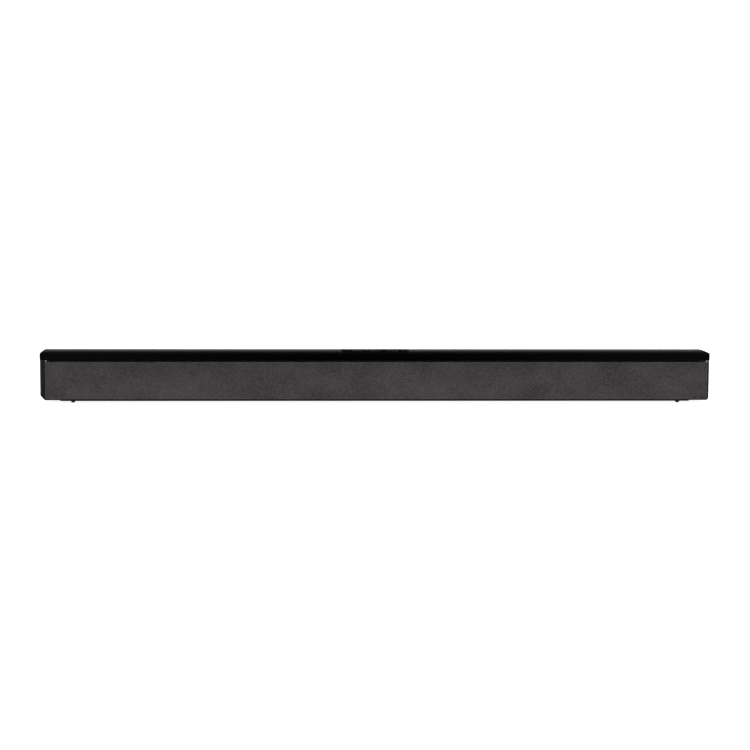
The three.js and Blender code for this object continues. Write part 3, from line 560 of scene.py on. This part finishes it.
def icon_marks(key, centre, top):
    """The printed strokes of a key's icon: power, input, minus or plus."""
    if key == "power_key":
        marks = bars(centre, top, [(0, 0.75, STROKE, 1.3)])
        marks.append(arc_rings(centre, top, 1.15 * MM, STROKE * MM, 125, 415))
        return marks
    if key == "source_key":
        screen = [(0, 1.1, 3.2, STROKE), (0, -1.1, 3.2, STROKE), (1.45, 0, STROKE, 2.3)]
        screen += [(-1.45, 0.85, STROKE, 0.6), (-1.45, -0.85, STROKE, 0.6)]
        lead = (-0.7, 0, 2.2, STROKE)
        return bars(centre, top, screen + [lead])
    length, width = 2.6, 0.34
    level, upright = (0, 0, length, width), (0, 0, width, length)
    return bars(centre, top, [level] if key == "volume_down_key" else [level, upright])


build_control_panel()
for key in KEYS:
    centre, top = build_key(key)
    icon = merge(key + "_icon", INK, *icon_marks(key, centre, top))
    finish_piece(icon, key, "key_plastic")

# ---------------------------------------------------------------- grille cloth


def build_cloth():
    """The cloth as one open sheet. It has no slits, so the frame's two tips pass through it."""
    cloth_low, cloth_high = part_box("grille_cloth")
    width, height = cloth_high.x - cloth_low.x, cloth_high.z - cloth_low.z
    centre = ((cloth_low.x + cloth_high.x) / 2, (cloth_low.z + cloth_high.z) / 2)
    round_over = 1.1 * MM
    corner = 1.6 * MM
    straight = 0.4 * MM
    facing = 0.97  # a face that looks forward less than this belongs to the turned edge, which gets the painted highlight

    def outline(inset, y):
        points = rounded_rect(width - 2 * inset, height - 2 * inset, corner - inset, 6, centre)
        return [Vector((x, y, z)) for x, z in points]

    front = cloth_low.y
    rings = [outline(0, cloth_high.y), outline(0, front + round_over + straight)]
    rings += [outline(s, front + round_over - t) for s, t in fillet(round_over, 6)]
    rings += [outline(round_over + straight, front)]
    piece = loft("grille_cloth_sheet", rings, CLOTH, start="open", sharp=60)
    piece.data.materials.append(FOLD_HIGHLIGHT)  # painted highlight: a lighter copy of the weave on the turned edge over the frame
    for face in piece.data.polygons:
        face.material_index = int(-face.normal.y < facing)
    finish_piece(piece, ROOT, "grille_cloth", "grille_cloth")


build_cloth()

# ---------------------------------------------------------------- end caps


def build_end_cap(side, name, taper, cut, corner):
    """An end cap whose lower outer corner is cut off at 45 degrees and rounded at the cut's ends."""
    cap_low, cap_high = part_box(name)
    outer = max(abs(cap_low.x), abs(cap_high.x))
    inner = min(abs(cap_low.x), abs(cap_high.x))
    front, back = cap_low.y, cap_high.y
    bottom, top = cap_low.z, cap_high.z
    cloth_low, cloth_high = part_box("grille_cloth")
    cloth_end = (cloth_high.x if side > 0 else -cloth_low.x) + GAP
    frame_low, frame_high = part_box("grille_frame")
    frame_end = frame_high.x if side > 0 else -frame_low.x
    front_corner = (4 * MM, 6.5 * MM)  # across the bar, and along its depth
    rear_corner = 5 * MM

    def arc(cx, cy, rx, ry, start, stop, steps):
        angles = [math.radians(start + (stop - start) * i / steps) for i in range(steps + 1)]
        return [(cx + rx * math.cos(a), cy + ry * math.sin(a)) for a in angles]

    plan = [(inner, back), (inner, front)]
    plan += arc(outer - front_corner[0], front + front_corner[1], *front_corner, -90, 0, 20)
    plan += arc(outer - rear_corner, back - rear_corner, rear_corner, rear_corner, 0, 90, 16)
    tall = [[Vector((side * x, y, z)) for x, y in plan] for z in (bottom - MM, top)]
    face = [(inner - MM, top), (inner - MM, bottom)]
    foot_side = outer - taper
    blend = cut + corner * math.tan(math.radians(22.5))
    face += arc(foot_side - blend, bottom + corner, corner, corner, -90, -45, 8)
    face += arc(foot_side - corner, bottom + blend, corner, corner, -45, 0, 8)
    face += [(outer, top)]
    deep = [[Vector((side * x, y, z)) for x, z in face] for y in (front - MM, back + MM)]
    piece = loft(name + "_shell", tall, CAP)
    combine(piece, "INTERSECT", loft("cutter", deep, CAP))

    def cutter(x, y, z):
        return block("cutter", sorted(side * v for v in x), y, z)

    wall, floor = 2.7 * MM, 2.5 * MM
    grille_depth = 5.6 * MM
    sill_step, shoulder_step = 0.2 * MM, 1.6 * MM  # how far back it lies below and above the grille
    grille_top = cloth_high.z + GAP
    sill = cloth_low.z - GAP
    above = (grille_top - GAP, top + MM)
    reach = (inner - MM, cloth_end)
    # This slot is for the frame's tip. It lies 0.9 mm too far out, so the tip runs into the cap.
    tip_slot = (frame_end - 1.1 * MM, frame_end + 1.2 * MM)
    tip_depth = 3.2 * MM
    cutters = [
        cutter((inner - MM, outer - wall), (front + 5.5 * MM, back - wall), (bottom + floor, top + MM)),
        cutter(reach, (front - MM, front + grille_depth), (sill, grille_top)),
        cutter(reach, (front - MM, front + sill_step), (bottom - MM, sill + MM)),
        cutter(reach, (front - MM, front + shoulder_step), above),
        cutter(tip_slot, (front - MM, front + tip_depth), (grille_top - GAP, frame_high.z + GAP)),
    ]
    combine(piece, "DIFFERENCE", *cutters)
    tidy_normals(piece, 30)
    soften(piece, 0.3 * MM, 50)
    finish_piece(piece, ROOT, "black_moulding", name)


build_end_cap(1, "right_end_cap", taper=0.9 * MM, cut=2.64 * MM, corner=4.5 * MM)
build_end_cap(-1, "left_end_cap", taper=0.4 * MM, cut=6.6 * MM, corner=3 * MM)

# ---------------------------------------------------------------- feet


def build_foot(name):
    foot_low, foot_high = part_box(name)
    centre = ((foot_low.x + foot_high.x) / 2, (foot_low.y + foot_high.y) / 2)
    width, length = foot_high.x - foot_low.x, foot_high.y - foot_low.y

    def outline(inset, z):
        size = (width - 2 * inset, length - 2 * inset)
        return [Vector((x, y, z)) for x, y in rounded_rect(*size, size[0] / 2 - 0.01 * MM, 10, centre)]

    edge = 0.6 * MM
    base = foot_low.z
    rings = [outline(0.3 * MM + s, base + edge - t) for s, t in fillet(edge, 5)[::-1]]
    rings += [outline(0.1 * MM, base + 1.8 * MM), outline(0, foot_high.z)]
    piece = loft(name + "_pad", rings, RUBBER)
    finish_piece(piece, ROOT, "foot_rubber", name)


for end in ("front", "rear"):
    for side in ("left", "right"):
        build_foot(f"{end}_{side}_foot")

# ---------------------------------------------------------------- bass ports and screws


def build_port(name):
    port_low, port_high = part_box(name)
    centre = ((port_low.x + port_high.x) / 2, 0, (port_low.z + port_high.z) / 2)
    outer = (port_high.x - port_low.x) / 2
    bore = outer - 1.8 * MM
    flange = outer + 2.6 * MM
    seat = port_high.y + 0.15 * MM
    face = port_high.y + 0.7 * MM
    edge = 0.25 * MM
    flare, flare_depth = 3 * MM, 4.5 * MM
    angles = [math.radians(a) for a in range(0, 91, 10)]
    mouth = [(bore + flare * (1 - math.sin(a)), face - flare_depth * (1 - math.cos(a))) for a in angles]
    profile = [(outer, port_low.y), (outer, seat), (flange, seat)]
    profile += [(flange, face - edge), (flange - edge, face), (bore + flare + 0.3 * MM, face)]
    profile += mouth + [(bore, port_low.y)]
    piece = revolve_y(name + "_tube", profile, centre, MOULDED, 64)
    finish_piece(piece, ROOT, "black_moulding", name)


def build_screw(name):
    screw_low, screw_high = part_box(name)
    head = (screw_high.z - screw_low.z) / 2
    centre = ((screw_low.x + screw_high.x) / 2, 0, (screw_low.z + screw_high.z) / 2)
    face = screw_high.y
    shank = 1.35 * MM
    slot_width, slot_length, slot_depth = 1.1 * MM, 3.6 * MM, 1.3 * MM
    outline = [(0, face + 0.05 * MM), (head * 0.55, face + 0.03 * MM)]
    outline += [(head - 0.15 * MM, face - 0.04 * MM), (head, face - 0.3 * MM)]
    outline += [(shank, face - 2.1 * MM), (shank, screw_low.y + MM), (0, screw_low.y)]
    piece = revolve_y(name + "_steel", outline, centre, STEEL, 32)
    cutters = []
    for width, height in ((slot_width, slot_length), (slot_length, slot_width)):
        x = [centre[0] - width / 2, centre[0] + width / 2]
        z = [centre[2] - height / 2, centre[2] + height / 2]
        cutters.append(block("cutter", x, [face - slot_depth, face + MM], z))
    combine(piece, "DIFFERENCE", *cutters)
    tidy_normals(piece)
    finish_piece(piece, ROOT, "steel", name)


for side in ("left", "right"):
    build_port(side + "_bass_port")
for name in sorted(nodes):
    if name.startswith("rear_screw"):
        build_screw(name)

# ---------------------------------------------------------------- refined panels and sockets


def refine(name, material, slot, width):
    """A copy of a CAD node's shape whose sharp edges are rounded off."""
    mesh = nodes[name].data.copy()
    mesh.transform(nodes[name].matrix_world)
    mesh.materials.clear()
    mesh.materials.append(material)
    work = bmesh.new()
    work.from_mesh(mesh)
    bmesh.ops.remove_doubles(work, verts=work.verts, dist=1e-6)
    bmesh.ops.dissolve_limit(work, angle_limit=math.radians(0.5), verts=work.verts, edges=work.edges)
    work.to_mesh(mesh)
    work.free()
    piece = bpy.data.objects.new(name + "_refined", mesh)
    collection.objects.link(piece)
    tidy_normals(piece)
    soften(piece, width, 30)
    finish_piece(piece, ROOT, slot, name)


for name in ("rear_panel", "left_rear_panel", "right_rear_panel", "connector_tray"):
    refine(name, REAR, "black_moulding", 0.2 * MM)
refine("base_plate", MOULDED, "black_moulding", 0.2 * MM)
refine("front_baffle", BAFFLE, "black_moulding", 0.2 * MM)
for name in ("left_wall_hook", "right_wall_hook"):
    refine(name, BLACK_STEEL, "steel", 0.25 * MM)
for name in ("hdmi_socket", "usb_socket"):
    refine(name, STEEL, "steel", 0.12 * MM)
for name in ("mains_inlet", "optical_socket", "aux_socket"):
    refine(name, SOCKET, "socket_plastic", 0.15 * MM)


def strips(name, x, y, z, count, width):
    """Flat contacts side by side on a tongue. x, y and z are each (from, to)."""
    groups = []
    for i in range(count):
        centre = (x[0] + (i + 0.5) * (x[1] - x[0]) / count, (y[0] + y[1]) / 2)
        points = rounded_rect(width, y[1] - y[0], 0.1 * MM, 2, centre)
        groups.append([[Vector((u, v, w)) for u, v in points] for w in z])
    return merge(name, CONTACT, *groups)


def tongue(name, x, y, z, edge):
    """A rounded plastic tongue along Y."""
    size = (x[1] - x[0], z[1] - z[0])
    centre = ((x[0] + x[1]) / 2, (z[0] + z[1]) / 2)
    rings = []
    for inset, along in [(0, y[0])] + [(s, y[1] - edge + t) for s, t in fillet(edge, 4)]:
        points = rounded_rect(size[0] - 2 * inset, size[1] - 2 * inset, 0.25 * MM, 4, centre)
        rings.append([Vector((u, along, v)) for u, v in points])
    return loft(name, rings, SOCKET)


def socket_mouth(name):
    """The middle of a socket in x and in z, the place of its rear face, and its underside."""
    low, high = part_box(name)
    return (low.x + high.x) / 2, (low.z + high.z) / 2, high.y, low.z


def build_hdmi_inside():
    x, _, face, base = socket_mouth("hdmi_socket")
    middle = base + 3.7 * MM
    half_width, half_height = 5.9 * MM, 0.75 * MM
    reach = (face - 11 * MM, face - 1.4 * MM)
    heights = (middle - half_height, middle + half_height)
    bar = tongue("hdmi_tongue", (x - half_width, x + half_width), reach, heights, 0.2 * MM)
    finish_piece(bar, ROOT, "socket_plastic")
    span = (x - 5.2 * MM, x + 5.2 * MM)
    length = (reach[0], reach[1] - 0.5 * MM)
    for word, rise in (("upper", 0.73 * MM), ("lower", -0.78 * MM)):
        heights = (middle + rise, middle + rise + 0.05 * MM)
        pins = strips("hdmi_contacts_" + word, span, length, heights, 10, 0.45 * MM)
        finish_piece(pins, ROOT, "steel")


def build_usb_inside():
    x, _, face, base = socket_mouth("usb_socket")
    middle = base + 4.7 * MM
    half_width, half_height = 5.7 * MM, 1 * MM
    reach = (face - 12 * MM, face - 0.9 * MM)
    heights = (middle - half_height, middle + half_height)
    bar = tongue("usb_tongue", (x - half_width, x + half_width), reach, heights, 0.3 * MM)
    finish_piece(bar, ROOT, "socket_plastic")
    heights = (middle - half_height - 0.05 * MM, middle - half_height)
    span = (x - 5 * MM, x + 5 * MM)
    pins = strips("usb_contacts", span, (reach[0], reach[1] - 0.8 * MM), heights, 4, 1.1 * MM)
    finish_piece(pins, ROOT, "steel")


def build_mains_pins():
    x, z, face, _ = socket_mouth("mains_inlet")
    radius, offset = 1.25 * MM, 4.3 * MM
    root, end = face - 14 * MM, face - 2.9 * MM
    for word, side in (("left", -1), ("right", 1)):
        profile = [(radius, root)]
        profile += [(radius - s, end - radius + t) for s, t in fillet(1.2 * MM, 6)]
        profile += [(0, end), (0, root)]
        pin = revolve_y(f"mains_pin_{word}", profile, (x + side * offset, 0, z), STEEL, 24)
        finish_piece(pin, ROOT, "steel")


def build_aux_collar():
    x, z, face, _ = socket_mouth("aux_socket")
    bore, outer = 1.85 * MM, 2.8 * MM
    rear, front = face - 2 * MM, face + 0.1 * MM
    profile = [(bore, rear), (outer, rear), (outer, front), (bore + 0.3 * MM, front), (bore, face - 0.2 * MM)]
    collar = revolve_y("aux_collar", profile, (x, 0, z), CONTACT, 40)
    finish_piece(collar, ROOT, "steel")


build_hdmi_inside()
build_usb_inside()
build_mains_pins()
build_aux_collar()

# ---------------------------------------------------------------- cones, magnets and surrounds

CONE = {"lip": 1.6, "paper": 0.7, "throat": 7.4, "dome": 4, "neck": 7.2, "coil": 6.6, "former": 0.7}  # mm
CAP_STEPS = 8  # along the dust cap's curve
SURROUND_SECTORS = 8
SURROUND_WALL = 0.6 * MM


def build_cone(driver):
    """Paper cone, domed dust cap and voice-coil former, turned from one profile."""
    low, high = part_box(driver + "_driver_cone")
    lip, paper, throat, dome, neck, coil, former = (size * MM for size in CONE.values())
    face = low.y + lip
    rim = (high.x - low.x) / 2

    def cap(radius, top, bottom):
        shares = [i / CAP_STEPS for i in range(CAP_STEPS + 1)]
        return [(radius * share, top + (bottom - top) * share**2) for share in shares]

    profile = [(rim, low.y)] + cap(throat, face + dome, face + neck)[::-1]
    profile += cap(coil, face + dome + paper, face + neck + 0.8 * MM)
    profile += [(coil, high.y), (coil + former, high.y), (throat, face + neck + MM), (rim, low.y + paper)]
    centre = ((low.x + high.x) / 2, 0, (low.z + high.z) / 2)
    piece = revolve_y(driver + "_cone_paper", profile, centre, PAPER, 64)
    finish_piece(piece, driver + "_cone", "cone_paper", driver + "_driver_cone")


def build_magnet(driver):
    """Ferrite ring on a yoke, with the round gap that the voice coil moves in."""
    low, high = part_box(driver + "_driver_magnet")
    outer = (high.x - low.x) / 2
    face, floor = low.y + MM, high.y - 2 * MM
    edge = 0.6 * MM
    pole, gap = 5.9 * MM, 8 * MM  # radii of the middle pole and of the gap's outer wall
    profile = [(0, low.y), (pole - edge, low.y), (pole, low.y + edge), (pole, floor)]
    profile += [(gap, floor), (gap, face), (outer - edge, face), (outer, face + edge)]
    profile += [(outer, high.y - edge), (outer - edge, high.y), (0, high.y)]
    centre = ((low.x + high.x) / 2, 0, (low.z + high.z) / 2)
    piece = revolve_y(driver + "_magnet_ring", profile, centre, FERRITE, 64)
    finish_piece(piece, ROOT, "ferrite", driver + "_driver_magnet")


def build_surround(driver):
    """The rubber roll that joins a cone to its basket and gives as the cone travels.

    A blend runs along one line, so the roll is made in sectors, each blended along its own radius."""
    low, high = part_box(driver + "_driver_surround")
    centre = (low + high) / 2
    roll = high.y - low.y
    outer = (high.x - low.x) / 2
    half = math.pi / SURROUND_SECTORS

    def arch(size):
        """Half-round section of the roll, from its outer foot to its inner one."""
        angles = [math.pi * i / 10 for i in range(11)]
        return [(outer - roll - size * math.cos(a), high.y - size * math.sin(a)) for a in angles]

    def spoke(angle, radius, y):
        return Vector((centre.x + radius * math.cos(angle), y, centre.z + radius * math.sin(angle)))

    profile = arch(roll) + arch(roll - SURROUND_WALL)[::-1]
    for i in range(SURROUND_SECTORS):
        middle = 2 * half * i
        sweep = [middle + half * (step / 3 - 1) for step in range(7)]
        slices = [[spoke(angle, radius, y) for radius, y in profile] for angle in sweep]
        piece = loft(f"{driver}_surround_roll_{i + 1}", slices, RUBBER)
        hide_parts(driver + "_driver_surround")
        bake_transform(piece)


for driver in ("left_inner", "left_outer", "right_inner", "right_outer"):
    build_magnet(driver)
    build_cone(driver)
    build_surround(driver)

# ---------------------------------------------------------------- carried-over CAD nodes

FINISHES = {
    "front_baffle": BAFFLE,
    "chassis": MOULDED,
    "base_plate": MOULDED,
    "rear_panel": REAR,
    "chamber_wall": MOULDED,
    "connector_tray": REAR,
    "grille_frame": GREY,
    "wall_hook": BLACK_STEEL,
    "mains_inlet": SOCKET,
    "hdmi_socket": STEEL,
    "usb_socket": STEEL,
    "optical_s": SOCKET,
    "aux_socket": SOCKET,
    "_board": BOARD,
    "heat_sink": ALUMINIUM,
    "_basket": STEEL,
    "_magnet": FERRITE,
    "_cone": PAPER,
    "_surround": RUBBER,
    "top_cover": GLOSS,
    "control_panel": SATIN,
    "_key": KEY,
    "end_cap": CAP,
    "grille_cloth": CLOTH,
    "_foot": RUBBER,
    "bass_port": MOULDED,
    "rear_screw": STEEL,
}

for name, node in nodes.items():
    finish = next(f for part, f in FINISHES.items() if part in name)
    for slot in node.material_slots:
        slot.material = finish

# ---------------------------------------------------------------- studio


def flat_colour(name, colour, strength):
    made = Finish(name, colour, 0.9)
    made.shader.inputs["Emission Color"].default_value = (1, 1, 1, 1)
    made.shader.inputs["Emission Strength"].default_value = strength
    made.tint(made.noise(0.5), 0.99, 1.01)
    return made.material


def build_floor():
    size = 300
    corners = [(-size, -size, 0), (size, -size, 0), (size, size, 0), (-size, size, 0)]
    floor = new_piece("floor", corners, [(0, 1, 2, 3)], flat_colour("pale_floor", (0.8, 0.8, 0.8), 0.93))
    floor.visible_glossy = False


def add_light(name, place, target, size, power, glossy=False):
    light = bpy.data.lights.new(name, "AREA")
    light.shape = "RECTANGLE"
    light.size, light.size_y = size
    light.energy = power
    lamp = bpy.data.objects.new(name, light)
    collection.objects.link(lamp)
    lamp.location = place
    lamp.rotation_euler = (Vector(target) - Vector(place)).to_track_quat("-Z", "Y").to_euler()
    lamp.visible_glossy = glossy


def build_world():
    """White to the camera. Reflections see a dim studio with a bright band low on the horizon.

    High up at both sides they see two soft boxes. Below the horizon they see pale side walls and,
    behind the bar, the floor.
    """
    world = bpy.data.worlds.new("studio")
    scene.world = world
    graph = Graph(world)
    split = graph.node("ShaderNodeSeparateXYZ")
    graph.link(graph.node("ShaderNodeTexCoord").outputs["Generated"], split.inputs[0])
    x, y, z = split.outputs

    above = graph.node("ShaderNodeValToRGB")
    graph.link(graph.spread(z, 0, 1, -0.1, 0.9), above.inputs["Fac"])
    brightness = [
        (0, 0),
        (0.092, 0),
        (0.112, 0.34),
        (0.14, 0.235),
        (0.155, 0.14),
        (0.172, 0.055),
        (0.192, 0.006),
        (0.35, 0.006),
        (1, 0.08),
    ]
    while len(above.color_ramp.elements) < len(brightness):
        above.color_ramp.elements.new(0.5)
    for element, (position, value) in zip(above.color_ramp.elements, brightness):
        element.position = position
        element.color = (value, value * 0.95, value * 0.97, 1)

    across = graph.maths("SUBTRACT", x, 0.04)
    walls = graph.maths("MULTIPLY", graph.maths("MULTIPLY", across, across), 2)
    walls = graph.maths("MINIMUM", graph.maths("ADD", walls, 0.002), 0.055)
    floor = graph.maths("MULTIPLY", graph.maths("MAXIMUM", y, 0), 0.3)
    below = graph.maths("MULTIPLY", graph.maths("ADD", walls, floor), graph.maths("LESS_THAN", z, -0.005))
    aside = graph.spread(graph.maths("ABSOLUTE", x, 0), 0, 1, 0.25, 0.6)
    boxes = graph.maths("MULTIPLY", aside, graph.spread(z, 0, 0.45, 0.12, 0.5))
    total = graph.node("ShaderNodeVectorMath", operation="ADD")
    graph.link(above.outputs["Color"], total.inputs[0])
    graph.link(graph.maths("ADD", below, boxes), total.inputs[1])

    studio = graph.node("ShaderNodeBackground")
    graph.link(total.outputs[0], studio.inputs["Color"])
    backdrop = graph.node("ShaderNodeBackground")
    backdrop.inputs["Color"].default_value = (1, 1, 1, 1)
    backdrop.inputs["Strength"].default_value = 1.05
    choose = graph.node("ShaderNodeMixShader")
    graph.link(graph.node("ShaderNodeLightPath").outputs["Is Camera Ray"], choose.inputs["Fac"])
    graph.link(studio.outputs[0], choose.inputs[1])
    graph.link(backdrop.outputs[0], choose.inputs[2])
    graph.link(choose.outputs[0], graph.node("ShaderNodeOutputWorld").inputs["Surface"])


def build_camera():
    """A long lens in front of the bar, a little above it and to its left."""
    camera = bpy.data.objects.new("camera", bpy.data.cameras.new("camera"))
    collection.objects.link(camera)
    scene.camera = camera
    camera.data.sensor_width = 36
    camera.data.lens = 120.33
    camera.data.clip_start = 0.05
    camera.data.clip_end = 1000
    camera.location = (-0.127, -3.442, 0.3155)
    target = Vector((-0.0002, 0.0, 0.03545))
    aim = (target - camera.location).to_track_quat("-Z", "Y")
    roll = Matrix.Rotation(math.radians(0.168), 3, "Z")
    camera.rotation_euler = (aim.to_matrix() @ roll).to_euler()


build_floor()
build_world()
build_camera()
add_light("key_light", (-1.2, -2.6, 1.9), (0, 0, 0.03), (1.8, 1.2), 30)
add_light("fill_light", (1.6, -2.4, 1.2), (0, 0, 0.03), (1.6, 1.2), 22)
add_light("overhead_light", (0, 0.2, 2.2), (0, 0, 0), (2.4, 1.2), 20)
add_light("rear_light", (0.3, 2.6, 1.5), (0, 0, 0.03), (1.8, 1.0), 60)
add_light("left_strip", (-1.5, -0.5, 0.5), (-0.45, 0, 0.04), (0.25, 1.0), 2.5, glossy=True)
add_light("right_strip", (1.5, -0.5, 0.5), (0.45, 0, 0.04), (0.25, 1.0), 2.5, glossy=True)
scene.view_settings.view_transform = "Standard"
scene.view_settings.look = "None"
